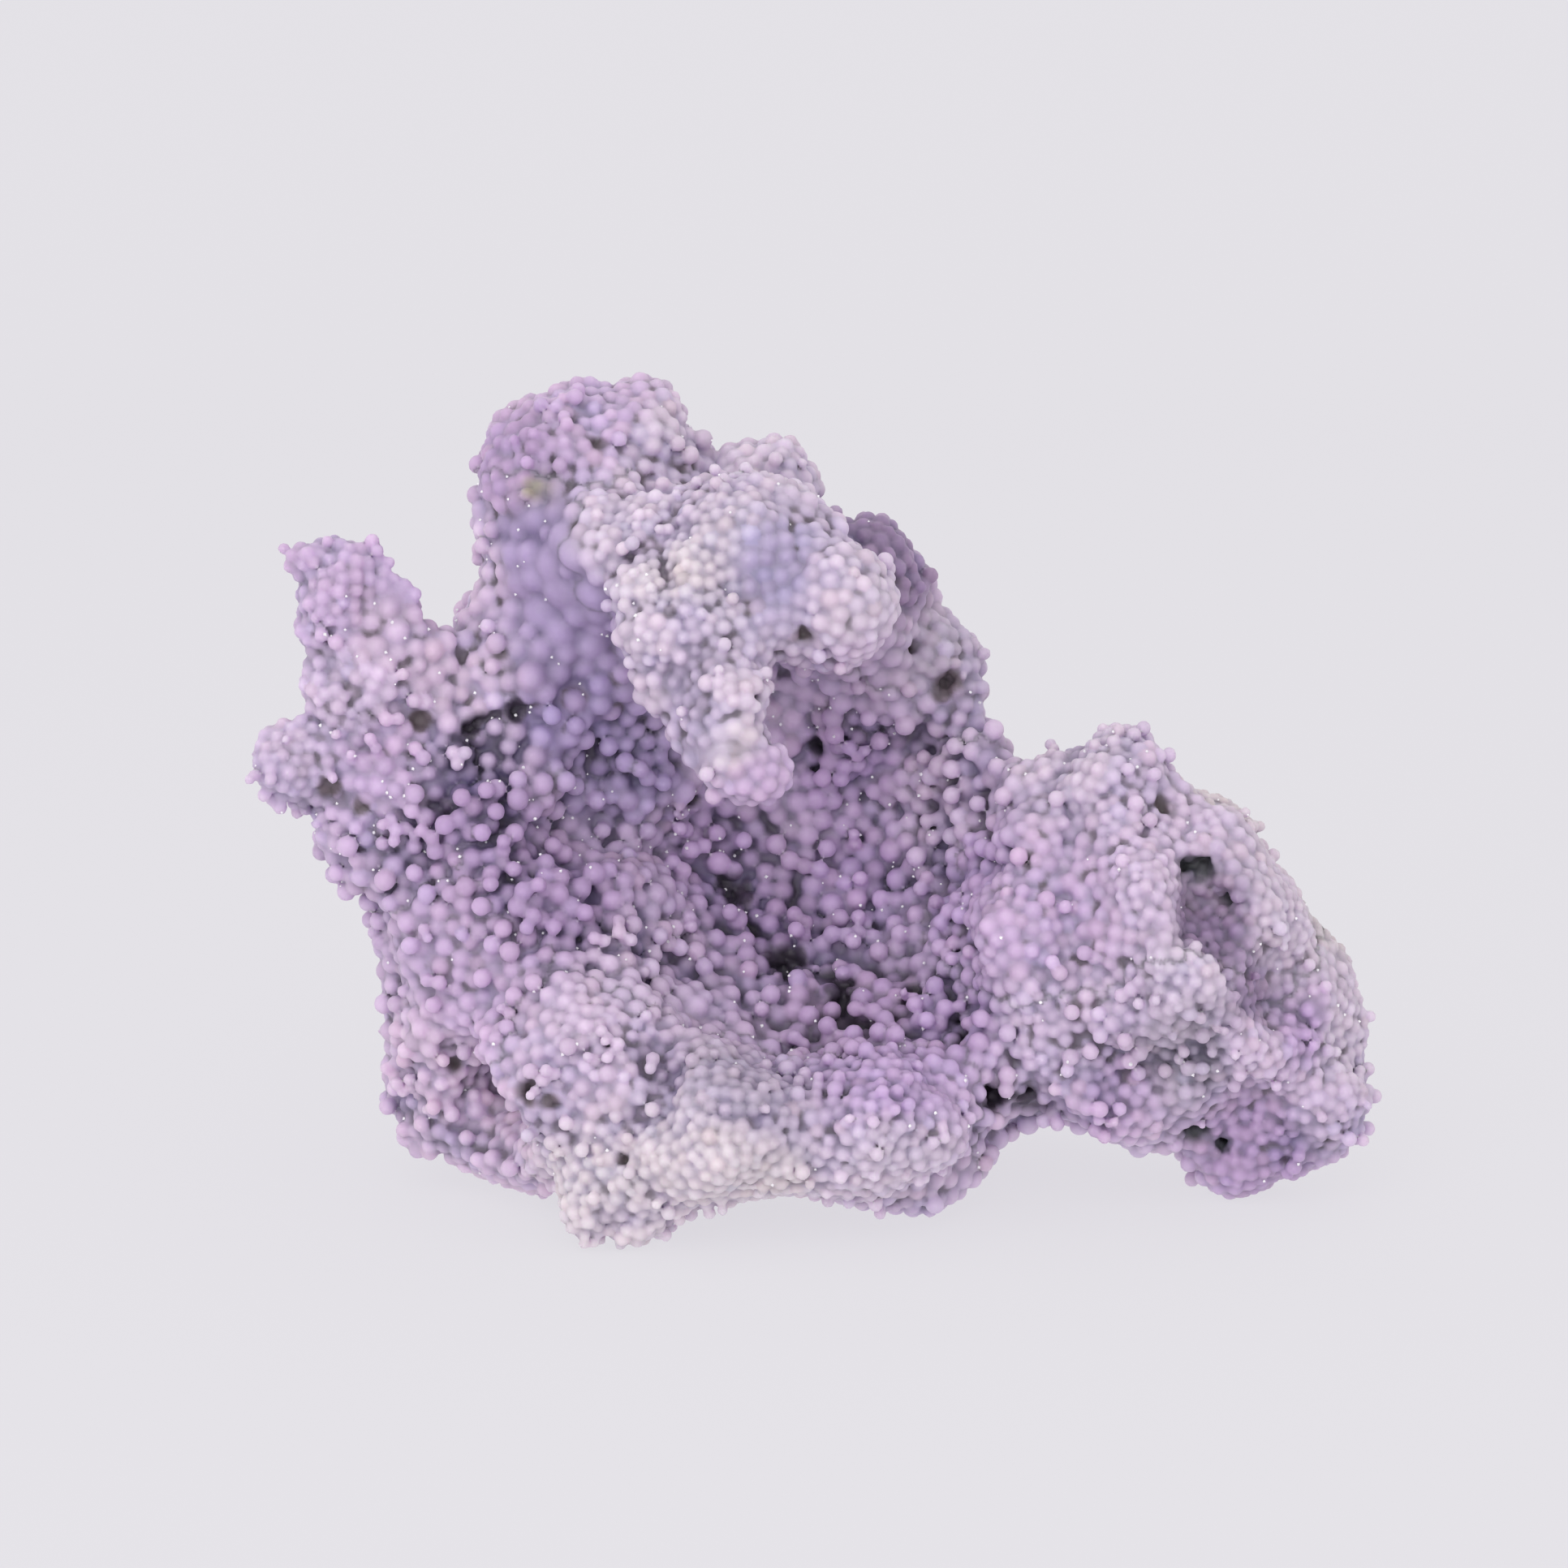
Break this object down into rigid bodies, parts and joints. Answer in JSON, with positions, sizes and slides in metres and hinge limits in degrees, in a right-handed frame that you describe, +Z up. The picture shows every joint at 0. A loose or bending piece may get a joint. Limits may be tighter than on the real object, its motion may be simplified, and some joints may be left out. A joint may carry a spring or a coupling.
{
  "type": "botryoidal chalcedony specimen",
  "caption": "Purple chalcedony crust of fused round grapes, with a deep hollow under an overhanging brow, a horn on the left and a broad lobe on the right.",
  "frame": {"origin": "on the table, under the middle of the specimen's box", "axes": "+Z up, +X to the viewer's right along the longest side, -Y towards the viewer, out of the open hollow"},
  "size_m": [0.1202, 0.0664, 0.0873],
  "materials": {
    "chalcedony": "waxy and slightly translucent, from pale lilac to deep violet"
  },
  "bodies": {
    "root": {"chalcedony": "chalcedony"}
  },
  "joints": []
}
